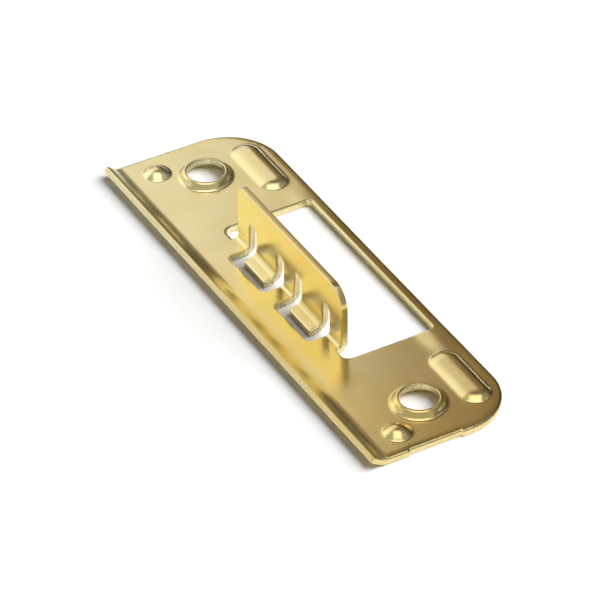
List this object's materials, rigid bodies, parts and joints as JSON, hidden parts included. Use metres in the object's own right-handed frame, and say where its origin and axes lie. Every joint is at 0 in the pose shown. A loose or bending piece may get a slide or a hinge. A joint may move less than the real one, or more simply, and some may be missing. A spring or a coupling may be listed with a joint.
{
  "type": "door strike plate",
  "caption": "Flat sheet-steel strike plate with an upturned lip, a latch opening with a bent-up adjusting tab, drawn screw holes, dimples and stiffening ribs.",
  "frame": {"origin": "under the middle of the whole outline, in the plane of the flat front face", "axes": "+X along the plate, towards the tab's more rounded corner; +Y from the lip to the rounded side; +Z out of the back face, the way the tab stands"},
  "size_m": [0.11, 0.0348, 0.0147],
  "materials": {
    "strike_plate": "yellow-passivated zinc plating on sheet steel, satin"
  },
  "bodies": {
    "root": {"strike_plate": "strike_plate"}
  },
  "joints": []
}
